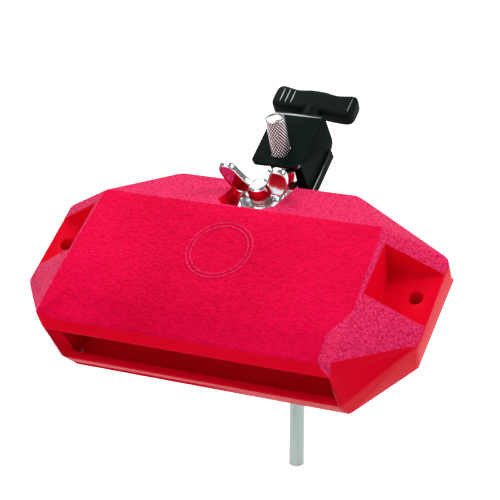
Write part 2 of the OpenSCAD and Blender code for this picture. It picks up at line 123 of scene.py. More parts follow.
# A grid for a plate with a shaped edge. Each outline point is joined to its nearest point on the spine, and
# the profile says how high the plate stands, as a share of half its thickness, at each share of the way
# from the spine to the outline. The underside mirrors the upper side.
def pillow(outline, spineStart, spineEnd, thickness, profile):
    a, b = np.asarray(spineStart, float), np.asarray(spineEnd, float)
    along = np.clip((outline - a) @ (b - a) / max((b - a) @ (b - a), 1e-9), 0, 1)[:, None]
    spine = a + along * (b - a)
    upper = np.asarray(profile, float)
    both = np.concatenate([upper, upper[:-1][::-1] * np.array([1, -1])])
    out, high = both[:, :1], both[:, 1:] * thickness / 2
    flat = spine[None] + (outline - spine)[None] * out[..., None]
    return np.concatenate([flat, np.broadcast_to(high[..., None], flat.shape[:2] + (1,))], -1)


# The profile of a plate with gently crowned faces and a round edge: across it the distance goes as sin to
# the power 2/fullness and the height as cos to that power
def crowned(fullness, rows):
    turn = np.linspace(0, math.pi / 2, rows)
    return np.stack([np.sin(turn) ** (2 / fullness), np.maximum(np.cos(turn), 0) ** (2 / fullness)], -1)


# The quads of a grid whose columns close round, and whose rows close too where along is true
def quadsOf(rows, columns, first, along):
    index = first + np.arange(rows * columns).reshape(rows, columns)
    low = index if along else index[:-1]
    high = np.roll(index, -1, 0) if along else index[1:]
    return np.stack([low, np.roll(low, -1, 1), np.roll(high, -1, 1), high], -1).reshape(-1, 4)


# One object from several grids of points in the frame, with poles merged and faces outwards. The rows of
# a grid that is handed over in a tuple close into a ring.
def meshPiece(name, grids, sharp=38):
    points, quads, count = [], [], 0
    for grid in grids:
        along = isinstance(grid, tuple)
        grid = grid[0] if along else grid
        points.append(grid.reshape(-1, 3))
        quads.append(quadsOf(grid.shape[0], grid.shape[1], count, along))
        count += len(points[-1])
    mesh = bpy.data.meshes.new(name)
    mesh.from_pydata(np.concatenate(points).tolist(), [], np.concatenate(quads).tolist())
    build = bmesh.new()
    build.from_mesh(mesh)
    bmesh.ops.remove_doubles(build, verts=build.verts, dist=1e-7)
    bmesh.ops.dissolve_degenerate(build, dist=1e-8, edges=build.edges)
    bmesh.ops.recalc_face_normals(build, faces=build.faces)
    build.to_mesh(mesh)
    build.free()
    mesh.shade_smooth()
    mesh.set_sharp_from_angle(angle=math.radians(sharp))
    piece = bpy.data.objects.new(name, mesh)
    bpy.context.scene.collection.objects.link(piece)
    return piece


# A copy of a CAD node's mesh with its loose triangles joined and its flat areas made whole, then cut into
# convex faces, so that a wall with a hole in it keeps its hole when its edges are eased
def mergedCopy(name, node):
    mesh = nodes[node].data.copy()
    mesh.name = name
    mesh.materials.clear()
    build = bmesh.new()
    build.from_mesh(mesh)
    bmesh.ops.remove_doubles(build, verts=build.verts, dist=2e-6)
    bmesh.ops.dissolve_limit(build, angle_limit=math.radians(0.6), verts=build.verts, edges=build.edges)
    bmesh.ops.connect_verts_concave(build, faces=build.faces)
    return mesh, build


# A CAD node's copy with an even round on every edge that turns by more than the angle. Where shine is
# true, its rounds and bends take the second material.
def roundedCopy(name, node, width, shine=False, angle=25, segments=3):
    mesh, build = mergedCopy(name, node)
    build.to_mesh(mesh)
    build.free()
    mesh.shade_smooth()
    if shine:
        shineBends(mesh)
    piece = bpy.data.objects.new(name, mesh)
    bpy.context.scene.collection.objects.link(piece)
    bevel = piece.modifiers.new("edges", "BEVEL")
    bevel.width = width * mm
    bevel.segments = segments
    bevel.limit_method = "ANGLE"
    bevel.angle_limit = math.radians(angle)
    bevel.use_clamp_overlap = True
    bevel.harden_normals = True
    bevel.material = 1 if shine else -1
    return piece


# Gives the second material to the faces that look along none of the block's three axes
def shineBends(mesh, flat=0.985):
    normals = np.empty(len(mesh.polygons) * 3)
    mesh.polygons.foreach_get("normal", normals)
    facing = np.abs(normals.reshape(-1, 3) @ np.stack([rightWay, blockBack, blockUp], 1)).max(1)
    mesh.polygons.foreach_set("material_index", (facing < flat).astype(np.int32))


# Gives a piece its materials, hides the CAD node that it stands for and hangs the piece on its body
def dress(piece, node, body, slot, *materials):
    for material in materials:
        piece.data.materials.append(material)
    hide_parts(node)
    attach(piece, body)
    return piece


# An empty shader group with named sockets: a value for each input, or None for a vector
def newGroup(name, inputs, outputs):
    group = bpy.data.node_groups.new(name, "ShaderNodeTree")
    for socket, value in inputs.items():
        kind = "NodeSocketVector" if value is None else "NodeSocketFloat"
        made = group.interface.new_socket(name=socket, in_out="INPUT", socket_type=kind)
        if value is not None:
            made.default_value = value
    for socket in outputs:
        group.interface.new_socket(name=socket, in_out="OUTPUT", socket_type="NodeSocketFloat")
    return group, group.nodes.new("NodeGroupInput"), group.nodes.new("NodeGroupOutput")


# One math node. Each argument is a socket to link or a number to hold.
def mathNode(tree, operation, first, second, clamp=False):
    node = tree.nodes.new("ShaderNodeMath")
    node.operation = operation
    node.use_clamp = clamp
    for slot, value in enumerate((first, second)):
        if isinstance(value, (int, float)):
            node.inputs[slot].default_value = value
        else:
            tree.links.new(value, node.inputs[slot])
    return node.outputs[0]


# Fractal noise at a scale given as a number or a socket
def noiseNode(tree, vector, scale, detail=3.0, rough=0.5):
    node = tree.nodes.new("ShaderNodeTexNoise")
    tree.links.new(vector, node.inputs["Vector"])
    if isinstance(scale, (int, float)):
        node.inputs["Scale"].default_value = scale
    else:
        tree.links.new(scale, node.inputs["Scale"])
    node.inputs["Detail"].default_value = detail
    node.inputs["Roughness"].default_value = rough
    return node.outputs["Fac"]


# The same where its settings are its scale, as a share of the group's own, its detail and its roughness
def sharedNoise(tree, vector, scale, settings):
    share, detail, rough = settings
    return noiseNode(tree, vector, mathNode(tree, "MULTIPLY", scale, share), detail, rough)


# Cells: the distance to the nearest of scattered points, at a scale given as a socket
def cellNode(tree, vector, scale, feature="F1"):
    node = tree.nodes.new("ShaderNodeTexVoronoi")
    node.feature = feature
    tree.links.new(vector, node.inputs["Vector"])
    tree.links.new(scale, node.inputs["Scale"])
    return node.outputs["Distance"]


# Each noise has its share of the grain's scale, its detail and its roughness. The heights are shares of the
# grain's depth.
leatherSet = {"fine": (1.7, 4.0, 0.6), "broad": (0.03, 2.0, 0.5), "mottle": (0.55, 3.0, 0.6),
              "padHeight": -0.9, "fineHeight": 1.1}


# Moulded leather grain: low pads between fine creases, broken up by noise. Its height is the cells'
# distance and the fine noise, each times its own height. Its shade is the mean of a broad and a finer
# noise.
def makeLeatherGrain():
    own = leatherSet
    inputs = {"Vector": None, "Scale": 700.0, "Depth": 1.0}
    group, given, out = newGroup("mouldedGrain", inputs, ["Height", "Shade"])
    vector, scale = given.outputs["Vector"], given.outputs["Scale"]
    pads = cellNode(group, vector, scale, "SMOOTH_F1")
    fine, broad, mottle = (sharedNoise(group, vector, scale, own[name])
                           for name in ("fine", "broad", "mottle"))
    low = mathNode(group, "MULTIPLY", pads, own["padHeight"])
    high = mathNode(group, "ADD", low, mathNode(group, "MULTIPLY", fine, own["fineHeight"]))
    shade = mathNode(group, "MULTIPLY", mathNode(group, "ADD", broad, mottle), 0.5)
    group.links.new(mathNode(group, "MULTIPLY", high, given.outputs["Depth"]), out.inputs["Height"])
    group.links.new(shade, out.inputs["Shade"])
    return group


# The same for the stipple: it glints where its noise is above a level, the more the steeper the gain
stippleSet = {"loose": (0.8, 2.0, 0.7), "pitHeight": 0.8, "looseHeight": 1.3, "glintFrom": 0.52,
              "glintGain": 6.0}


# Sparkling stipple: sharp little pits of uneven size, with a mask of the glossiest ones and a painted
# sparkle that lightens the colour of the raised grains where they glint: painted highlight. Its height is
# the cells' distance and the noise, each times its own height.
def makeStipple():
    own = stippleSet
    inputs = {"Vector": None, "Scale": 1100.0, "Depth": 1.0}
    group, given, out = newGroup("stipple", inputs, ["Height", "Glint", "PaintedSparkle"])
    vector, scale = given.outputs["Vector"], given.outputs["Scale"]
    pits = cellNode(group, vector, scale)
    loose = sharedNoise(group, vector, scale, own["loose"])
    low = mathNode(group, "MULTIPLY", pits, own["pitHeight"])
    high = mathNode(group, "ADD", low, mathNode(group, "MULTIPLY", loose, own["looseHeight"]))
    bright = mathNode(group, "SUBTRACT", loose, own["glintFrom"])
    glint = mathNode(group, "MULTIPLY", bright, own["glintGain"], clamp=True)
    group.links.new(mathNode(group, "MULTIPLY", high, given.outputs["Depth"]), out.inputs["Height"])
    group.links.new(glint, out.inputs["Glint"])
    # Painted highlight: the noise that makes the grains glint also lightens their colour
    group.links.new(loose, out.inputs["PaintedSparkle"])
    return group


# The scuffs are drawn out along one way, and finer than the broad areas by their share of the scale
scuffSet = {"stretch": (1.0, 6.0, 1.0), "turn": (0.3, 0.5, 0.9), "scuffs": (6.0, 5.0, 0.65),
            "broadDetail": 2.0, "gain": 2.0}


# Light handling marks: long faint scuffs over broad clean areas, as a roughness between two values. The
# marks are the product of a fine stretched noise and a broad one.
def makeHandling():
    own = scuffSet
    inputs = {"Vector": None, "Scale": 60.0, "Least": 0.05, "Most": 0.15}
    group, given, out = newGroup("handling", inputs, ["Roughness", "Marks"])
    stretch = group.nodes.new("ShaderNodeMapping")
    stretch.inputs["Scale"].default_value = own["stretch"]
    stretch.inputs["Rotation"].default_value = own["turn"]
    group.links.new(given.outputs["Vector"], stretch.inputs["Vector"])
    scuffs = sharedNoise(group, stretch.outputs[0], given.outputs["Scale"], own["scuffs"])
    broad = noiseNode(group, given.outputs["Vector"], given.outputs["Scale"], own["broadDetail"])
    marks = mathNode(group, "MULTIPLY", scuffs, broad)
    span = mathNode(group, "SUBTRACT", given.outputs["Most"], given.outputs["Least"])
    share = mathNode(group, "MULTIPLY", marks, own["gain"], clamp=True)
    mixed = mathNode(group, "ADD", given.outputs["Least"], mathNode(group, "MULTIPLY", share, span))
    group.links.new(mixed, out.inputs["Roughness"])
    group.links.new(marks, out.inputs["Marks"])
    return group


grainGroup, stippleGroup, handlingGroup = makeLeatherGrain(), makeStipple(), makeHandling()


# A material whose even values sit on the Principled shader's own sockets
def newMaterial(name, sockets):
    material = bpy.data.materials.new(name)
    material.use_nodes = True
    tree = material.node_tree
    shader = tree.nodes["Principled BSDF"]
    for socket, value in sockets.items():
        shader.inputs[socket].default_value = value
    coords = tree.nodes.new("ShaderNodeTexCoord").outputs["Object"]
    return material, tree, shader, coords


# Places a shared effect in a material, with that material's own values
def useGroup(tree, group, vector, values):
    node = tree.nodes.new("ShaderNodeGroup")
    node.node_tree = group
    tree.links.new(vector, node.inputs["Vector"])
    for socket, value in values.items():
        node.inputs[socket].default_value = value
    return node


# Feeds a colour between low and high, chosen by the factor
def tint(tree, factor, low, high, socket, ends=(0.3, 0.7)):
    ramp = tree.nodes.new("ShaderNodeValToRGB")
    ramp.color_ramp.elements[0].color = (*low, 1)
    ramp.color_ramp.elements[1].color = (*high, 1)
    ramp.color_ramp.elements[0].position, ramp.color_ramp.elements[1].position = ends
    tree.links.new(factor, ramp.inputs["Fac"])
    tree.links.new(ramp.outputs["Color"], socket)


# Feeds a value between low and high, chosen by the factor
def spread(tree, factor, low, high, socket):
    node = tree.nodes.new("ShaderNodeMapRange")
    node.inputs["To Min"].default_value = low
    node.inputs["To Max"].default_value = high
    tree.links.new(factor, node.inputs["Value"])
    tree.links.new(node.outputs["Result"], socket)


# Lets a height change the surface's normal by that distance in metres
def bump(tree, shader, height, distance):
    node = tree.nodes.new("ShaderNodeBump")
    node.inputs["Distance"].default_value = distance
    tree.links.new(height, node.inputs["Height"])
    tree.links.new(node.outputs["Normal"], shader.inputs["Normal"])


# The red plastic's refraction, and the shades at which it is wholly dark and wholly light
redSet = {"ior": 1.47, "shadeEnds": (0.36, 0.64)}


# Red moulded plastic with leather grain, or with stipple where the look asks for it. A stippled face is
# smoothest where it glints, a grained one where its shade is low. A grained face's colour follows its
# shade, a random tone; a stippled face's colour is lighter where it glints, a painted highlight.
def redPlastic(name, look):
    sockets = {"IOR": redSet["ior"], "Specular IOR Level": look["gloss"]}
    material, tree, shader, coords = newMaterial(name, sockets)
    stippled = look["grain"] == "stipple"
    group = stippleGroup if stippled else grainGroup
    grain = useGroup(tree, group, coords, {"Scale": look["scale"], "Depth": look["depth"]})
    # On a stippled face the colour comes from the painted sparkle: a painted highlight on the glinting
    # grains
    shade = grain.outputs["PaintedSparkle" if stippled else "Shade"]
    least, most = look["rough"]
    if stippled:
        spread(tree, grain.outputs["Glint"], most, least, shader.inputs["Roughness"])
    else:
        spread(tree, shade, least, most, shader.inputs["Roughness"])
    bump(tree, shader, grain.outputs["Height"], mm)
    tint(tree, shade, look["dark"], look["light"], shader.inputs["Base Color"], redSet["shadeEnds"])
    return material


# Plated or painted metal, and black plastic: an even colour with light handling marks in its gloss
def handledFinish(name, look):
    sockets = {"Metallic": look["metal"], "Specular IOR Level": look.get("gloss", 0.5)}
    material, tree, shader, coords = newMaterial(name, sockets)
    values = {"Scale": look["scale"], "Least": look["rough"][0], "Most": look["rough"][1]}
    marks = useGroup(tree, handlingGroup, coords, values)
    tint(tree, marks.outputs["Marks"], look["dark"], look["light"], shader.inputs["Base Color"])
    tree.links.new(marks.outputs["Roughness"], shader.inputs["Roughness"])
    if look.get("depth"):
        fine = noiseNode(tree, coords, look["fine"], detail=3.0, rough=0.6)
        bump(tree, shader, fine, look["depth"] * mm)
    return material


# Knurled chrome: plated crests, and grooves painted dark by the piece's groove attribute: painted shade
def knurledFinish(name, look):
    material, tree, shader, coords = newMaterial(name, {"Metallic": 1.0})
    values = {"Scale": look["scale"], "Least": look["rough"][0], "Most": look["rough"][1]}
    marks = useGroup(tree, handlingGroup, coords, values)
    paintedGrooveShade = tree.nodes.new("ShaderNodeAttribute")
    paintedGrooveShade.attribute_name = "groove"
    colour = shader.inputs["Base Color"]
    tint(tree, paintedGrooveShade.outputs["Fac"], look["light"], look["dark"], colour, look["ends"])
    tree.links.new(marks.outputs["Roughness"], shader.inputs["Roughness"])
    return material


# The three reds of the block. The ends' light colour is a whiter pink: partly painted sheen and sparkle.
# The walls' red is less blue than the batter's: painted shade, the hue the red takes out of the light.
redLooks = {
    "batter": {"dark": (0.700, 0.0008, 0.038), "light": (0.900, 0.0028, 0.066), "gloss": 0.012,
               "rough": (0.36, 0.5), "grain": "leather", "scale": 560.0, "depth": 0.6},
    "ends": {"dark": (0.700, 0.0020, 0.050), "light": (1.000, 0.0400, 0.190), "gloss": 0.06,
             "rough": (0.16, 0.5), "grain": "stipple", "scale": 900.0, "depth": 0.9},
    "walls": {"dark": (0.780, 0.0009, 0.017), "light": (0.840, 0.0013, 0.022), "gloss": 0.015,
              "rough": (0.34, 0.42), "grain": "leather", "scale": 420.0, "depth": 0.03},
}
redBatter = redPlastic("redBatter", redLooks["batter"])
redEnds = redPlastic("redEnds", redLooks["ends"])
redShadedWalls = redPlastic("redShadedWalls", redLooks["walls"])
metalLooks = {
    "polishedChrome": {"metal": 1.0, "dark": (0.76, 0.77, 0.79), "light": (0.84, 0.85, 0.87), "scale": 90.0,
                       "rough": (0.04, 0.13)},
    "rodChrome": {"metal": 1.0, "dark": (0.28, 0.35, 0.34), "light": (0.40, 0.47, 0.46), "scale": 90.0,
                  "rough": (0.08, 0.2)},
    "zincPlate": {"metal": 1.0, "dark": (0.58, 0.58, 0.57), "light": (0.70, 0.70, 0.69), "scale": 150.0,
                  "rough": (0.22, 0.38)},
    "brassInsert": {"metal": 1.0, "dark": (0.66, 0.50, 0.22), "light": (0.76, 0.60, 0.30), "scale": 150.0,
                    "rough": (0.18, 0.3)},
    "blackCoat": {"metal": 0.0, "dark": (0.0060, 0.0115, 0.0090), "light": (0.0090, 0.0150, 0.0120),
                  "scale": 110.0, "gloss": 0.004, "rough": (0.2, 0.32), "depth": 0.02, "fine": 900.0},
    "blackEdges": {"metal": 0.0, "dark": (0.0060, 0.0115, 0.0090), "light": (0.0090, 0.0150, 0.0120),
                   "scale": 110.0, "gloss": 0.8, "rough": (0.1, 0.16)},
    "blackPlastic": {"metal": 0.0, "dark": (0.0065, 0.0115, 0.0085), "light": (0.0100, 0.0155, 0.0120),
                     "scale": 100.0, "gloss": 0.012, "rough": (0.28, 0.42), "depth": 0.04, "fine": 1400.0},
    "rubberPad": {"metal": 0.0, "dark": (0.02, 0.02, 0.02), "light": (0.035, 0.035, 0.036), "scale": 100.0,
                  "rough": (0.6, 0.8), "depth": 0.1, "fine": 1100.0},
}
chrome, rodChrome, zinc, brass, blackCoat, blackEdges, blackPlastic, rubber = (
    handledFinish(name, look) for name, look in metalLooks.items())
knurled = knurledFinish("knurledChrome", {"dark": (0.05, 0.045, 0.055), "light": (0.80, 0.80, 0.82),
                                          "ends": (0.15, 0.6), "scale": 120.0, "rough": (0.12, 0.22)})
print("finishes made,", len(bpy.data.materials), "materials")

# How far each kind of edge is eased, in millimetres along the faces beside it, and the largest easing that
# the modifier allows, of which the others are shares
blockRound = {
    "hull": 1.6, "ridge": 0.9, "side": 0.8, "back": 1.2, "corner": 2.4, "rearCorner": 5.0, "slope": 1.3,
    "crease": 3.0, "roll": 2.0, "nose": 2.5, "lip": 0.9, "noseCorner": 0.7, "mouth": 1.1, "mouthInner": 0.5,
    "mouthCorner": 1.6, "recess": 0.7, "hole": 0.8, "notch": 0.45, "boltHole": 0.3, "sole": 0.35,
    "ring": 0.3, "largest": 6.0,
}
# Where those kinds lie on the block, in the block's own millimetres
blockMarks = {
    "earX": 110.0, "earY": 26.5, "earRadius": 4.1, "holeNear": 0.4, "boltNear": 6.0, "creaseY": 58.5,
    "rollY": 73.0, "noseY": 90.0, "lipY": 94.0, "backY": 33.0, "ringY": 31.0, "ringOut": 24.0,
}
# The parts of the block that those kinds fill, each between two values of x, y and z. x counts from the
# middle to either side, and far is beyond any place on the block.
far = 1000.0
blockZones = {
    "holeTop": {"z": (-24.0, far)},
    "ringTop": {"z": (0.1, far)},
    "recess": {"x": (90.5, far), "y": (-45.0, -8.0), "z": (-24.5, -0.5)},
    "notch": {"x": (-far, 19.0), "y": (0.5, far), "z": (-21.0, far)},
    "mouth": {"x": (-far, 86.6), "y": (-far, -87.0), "z": (-40.0, -10.9)},
    "ridge": {"y": (-1.0, 1.0), "z": (-1.0, far)},
    "crease": {"y": (-blockMarks["creaseY"] - 1.0, -blockMarks["creaseY"] + 1.0), "z": (-1.0, far)},
    "roll": {"y": (-blockMarks["rollY"] - 1.0, -blockMarks["rollY"] + 1.0), "z": (-3.0, far)},
    "nose": {"y": (-blockMarks["noseY"] - 1.5, -blockMarks["noseY"] + 1.5), "z": (-7.0, far)},
    "lip": {"y": (-blockMarks["lipY"] - 1.5, -blockMarks["lipY"] + 1.5)},
    "back": {"y": (blockMarks["backY"] - 1.5, blockMarks["backY"] + 1.5), "z": (-20.0, far)},
    "side": {"x": (85.0, 91.0), "y": (-59.0, far), "z": (-1.0, far)},
    "noseCorner": {"x": (79.0, far), "y": (-far, -57.0), "z": (-10.4, far)},
    "rearCorner": {"x": (108.0, far), "y": (-30.0, far)},
    "corner": {"x": (108.0, far)},
    "frontSlope": {"x": (92.0, far), "y": (-far, -50.0), "z": (-22.0, far)},
    "rearSlope": {"x": (92.0, far), "y": (-6.0, far), "z": (-22.0, far)},
    "sole": {"z": (-far, -52.0)},
}


# Which of the places lie inside a zone, where x counts from the block's middle to either side
def inZone(places, name):
    inside = np.ones(len(places), bool)
    for axis, (least, most) in blockZones[name].items():
        value = np.abs(places[:, 0]) if axis == "x" else places[:, "xyz".index(axis)]
        inside &= (value > least) & (value < most)
    return inside


# Which of the places lie on the face's double ring or inside it
def onRings(places):
    return np.hypot(places[:, 0], places[:, 1] + blockMarks["ringY"]) < blockMarks["ringOut"]


# How straight an edge has to run across, upright or back to count as such an edge, and the least turn in
# degrees of an edge that is eased, anywhere and on the rings
edgeSet = {"across": 0.95, "upright": 0.7, "back": 0.9, "turn": 4, "ringTurn": 40}


# The easing of each edge of the block, from where it lies, which way it runs and how far it turns.
# The first case that an edge meets gives its width.
def blockEdgeWidths(middle, along, turn, outer):
    marks, size, own = blockMarks, blockRound, edgeSet
    straight = np.abs(along)
    across, upright = straight[:, 0] > own["across"], straight[:, 2] > own["upright"]
    deep = straight[:, 1] > own["back"]
    away = np.hypot(np.abs(middle[:, 0]) - marks["earX"], middle[:, 1] + marks["earY"])
    atHole = np.abs(away - marks["earRadius"]) < marks["holeNear"]
    atBolt = np.hypot(middle[:, 0], middle[:, 1] - blockSet["boltBack"]) < marks["boltNear"]
    rings, notch, mouth = onRings(middle), inZone(middle, "notch"), inZone(middle, "mouth")
    cases = [
        (turn < own["turn"], 0.0),
        (rings & (turn > own["ringTurn"]) & inZone(middle, "ringTop"), size["ring"]),
        (rings, 0.0),
        (atHole & inZone(middle, "holeTop"), size["hole"]),
        (atHole, 0.0),
        (inZone(middle, "recess"), size["recess"]),
        (notch & atBolt, size["boltHole"]),
        (notch, size["notch"]),
        (mouth & deep, size["mouthCorner"]),
        (mouth & outer, size["mouth"]),
        (mouth, size["mouthInner"]),
        (~outer, 0.0),
    ]
    cases += [(across & inZone(middle, name), size[name])
              for name in ("ridge", "crease", "roll", "nose", "lip", "back")]
    cases += [
        (inZone(middle, "side"), size["side"]),
        (inZone(middle, "noseCorner"), size["noseCorner"]),
        (upright & inZone(middle, "rearCorner"), size["rearCorner"]),
        (upright & inZone(middle, "corner"), size["corner"]),
        (inZone(middle, "frontSlope") | inZone(middle, "rearSlope"), size["slope"]),
        (inZone(middle, "sole"), size["sole"]),
    ]
    widths = [np.full(len(middle), width) for _, width in cases]
    return np.select([test for test, _ in cases], widths, size["hull"])


# Which faces count as the outside, and how they tell the nose, the back, the ends and the top: distances in
# millimetres, edges by their turn in degrees, and the rest as shares of a face's own direction
faceSet = {"hullNear": 0.8, "noseY": -57.0, "noseZ": -10.5, "noseRise": 0.1, "backLean": 0.3,
           "endLean": 0.2, "endRise": 0.1, "topRise": 0.8, "cornerX": 79.5, "cornerY": -62.0, "ringZ": -1.0,
           "ringTopZ": 0.1, "softTurn": 30}


# The block's shell: the merged CAD shape, each edge eased by its own width. Its faces are of three kinds,
# each with its own finish: the batter face with its nose, the stippled ends and back, and the other walls.
# The ends' whiter pink is partly painted sheen and sparkle, and the walls' less blue red is painted shade.
# The right nose corner and the rings' tops take the ends' finish as a painted highlight.
def makeBlock():
    own = faceSet
    mesh, build = mergedCopy("block_body", "block_shell")
    weight = build.edges.layers.float.new("bevel_weight_edge")
    build.normal_update()
    hull = build.copy()
    made = bmesh.ops.convex_hull(hull, input=hull.verts)
    faces = [part for part in made["geom"] if isinstance(part, bmesh.types.BMFace)]
    normals = np.array([face.normal for face in faces])
    depths = np.array([face.normal.dot(face.verts[0].co) for face in faces])
    hull.free()
    edges = [edge for edge in build.edges if len(edge.link_faces) == 2]
    ends = np.array([[edge.verts[0].co, edge.verts[1].co] for edge in edges])
    middle = ends.mean(1)
    along = inPlace(ends[:, 1], blockPlace) - inPlace(ends[:, 0], blockPlace)
    along = along / np.maximum(np.linalg.norm(along, axis=1), 1e-9)[:, None]
    turn = np.degrees([edge.calc_face_angle(0.0) for edge in edges])
    outer = (middle @ normals.T - depths).max(1) > -own["hullNear"] * mm
    rise = np.array([sum(face.normal.dot(Vector(blockUp)) for face in edge.link_faces) for edge in edges])
    local = inPlace(middle, blockPlace)
    outer |= (local[:, 1] < own["noseY"]) & (local[:, 2] > own["noseZ"]) & (rise > own["noseRise"])
    widths = blockEdgeWidths(local, along, turn, outer)
    for edge, width, angle in zip(edges, widths, turn):
        edge[weight] = float(width / blockRound["largest"])
        edge.smooth = bool(width > 0 or angle < own["softTurn"])
    centres = np.array([face.calc_center_median() for face in build.faces])
    facing = np.array([face.normal for face in build.faces]) @ np.stack([rightWay, blockBack, blockUp], 1)
    onHull = (centres @ normals.T - depths).max(1) > -own["hullNear"] * mm
    middles = inPlace(centres, blockPlace)
    x, y, z = middles.T
    right, back, up = facing.T
    onNose = (y < own["noseY"]) & (z > own["noseZ"]) & (up > own["noseRise"])
    isBack = onHull & (back > own["backLean"]) & (up > own["backLean"])
    # Painted highlight: only the lit right nose corner takes the ends' pinker finish, the left one keeps
    # the batter's
    isLitRightCorner = onNose & (x > own["cornerX"]) & (y < own["cornerY"])
    isEnd = onHull & (np.abs(right) > own["endLean"]) & (up > own["endRise"]) | isBack | isLitRightCorner
    rings = onRings(middles)
    isTop = (onHull | onNose) & (up > own["topRise"]) & ~isEnd | rings & (z > own["ringZ"])
    # Painted highlight: the rings' tops take the ends' pinker finish, so they show as light lines
    isEnd |= rings & (z > own["ringTopZ"])
    # Kind 2, the walls, takes the less blue red: painted shade
    kind = np.where(isEnd, 1, np.where(isTop, 0, 2))
    for face, index in zip(build.faces, kind):
        face.material_index = int(index)
        face.smooth = True
    build.to_mesh(mesh)
    build.free()
    piece = bpy.data.objects.new("block_body", mesh)
    bpy.context.scene.collection.objects.link(piece)
    bevel = piece.modifiers.new("edges", "BEVEL")
    bevel.width = blockRound["largest"] * mm
    bevel.segments = 4
    bevel.limit_method = "WEIGHT"
    bevel.use_clamp_overlap = False
    bevel.harden_normals = True
    bevel.loop_slide = True
    return dress(piece, "block_shell", "head", "red_plastic", redBatter, redEnds, redShadedWalls)


blockBody = makeBlock()
coverSet = {"plateRound": 0.2, "screwRound": 0.3}
basePlate = roundedCopy("base_plate", "base_cover", coverSet["plateRound"])
# The cover fills most of its clearance, as a snug one does: it is drawn a little wider and deeper, and its
# slanted front corners, which lie past a share of its width and depth, stand out by their own distance
fitSet = {"across": 1.0024, "deep": 1.0036, "middle": -26.0, "slant": (0.778, -0.628), "slantFrom": 114.0,
          "slantOut": 0.32}
for vertex in basePlate.data.vertices:
    spot = inPlace(np.array(vertex.co), blockPlace)
    side, share = math.copysign(1.0, spot[0]), fitSet["slant"]
    spot[0] *= fitSet["across"]
    spot[1] = fitSet["middle"] + (spot[1] - fitSet["middle"]) * fitSet["deep"]
    if abs(spot[0]) * share[0] + spot[1] * share[1] > fitSet["slantFrom"]:
        spot[0] += side * share[0] * fitSet["slantOut"]
        spot[1] += share[1] * fitSet["slantOut"]
    vertex.co = placed(spot, blockPlace)
# The cover takes the walls' less blue red: painted shade
dress(basePlate, "base_cover", "head", "red_plastic", redShadedWalls)
coverScrews = roundedCopy("base_plate_screws", "base_screws", coverSet["screwRound"])
dress(coverScrews, "base_screws", "head", "zinc_steel", zinc)
print("block made,", len(blockBody.data.polygons), "faces before easing")

# The rod: a leg that stands on the floor, a bend and an arm, with its chrome cap let into the arm's end
rodSize = {"radius": 4.75, "bendRadius": 30.0, "bendSteps": 14, "armTop": 23.0, "capDeep": 1.6,
           "capGap": 0.02, "chamfer": 0.5, "around": 64}


# A round section carried up the leg, round the bend and along the arm. The bend is an arc that leaves the
# leg and joins the arm at its radius times the tangent of half the lean from where their middles cross.
def makeRod():
    size = rodSize
    lean = math.atan2(-armUp[1], armUp[2])
    corner = armOrigin - armUp * (armOrigin[1] / armUp[1])
    bendStart = corner[2] - size["bendRadius"] * math.tan(lean / 2) * mm
    sweep = np.linspace(0, lean, size["bendSteps"])[:, None]
    radius = size["bendRadius"] * mm
    arc = radius * np.concatenate([0 * sweep, np.cos(sweep), np.sin(sweep)], 1)
    bend = np.array([[0, -radius, bendStart]]) + arc
    top = armOrigin + armUp * (size["armTop"] - size["capDeep"] - size["capGap"]) * mm
    cut = size["chamfer"] * mm
    leg = np.array([[0, 0, 0], [0, 0, 0], [0, 0, cut]])
    arm = np.array([top - armUp * cut, top, top])
    path = np.concatenate([leg, bend, arm])
    turning = np.concatenate([0 * sweep, -np.sin(sweep), np.cos(sweep)], 1)
    heading = np.concatenate([np.tile([[0.0, 0, 1]], (3, 1)), turning, np.tile(armUp, (3, 1))])
    wide = np.full(len(path), size["radius"] * mm)
    wide[[0, -1]] = 0
    wide[[1, -2]] = (size["radius"] - size["chamfer"]) * mm
    side = np.cross(heading, rightWay)
    angle = np.arange(size["around"]) * 2 * math.pi / size["around"]
    ring = np.cos(angle)[None, :, None] * rightWay + np.sin(angle)[None, :, None] * side[:, None]
    return meshPiece("bent_rod", [path[:, None] + ring * wide[:, None, None]])


dress(makeRod(), "mounting_rod", "rod", "chrome", rodChrome)

sleeveSize = {"radius": 5.6, "bore": 4.77, "length": 81.0, "top": 23.0, "lip": 0.78, "chamfer": 0.5,
              "plain": 0.5, "around": 20, "pitch": 2.6, "depth": 0.42, "leftCrest": 1.6, "rightCrest": 2.6,
              "near": 0.01, "columns": 260, "rows": 350}


# A triangle wave between 0 and 1
def triangle(x):
    return np.abs((x % 1) * 2 - 1)


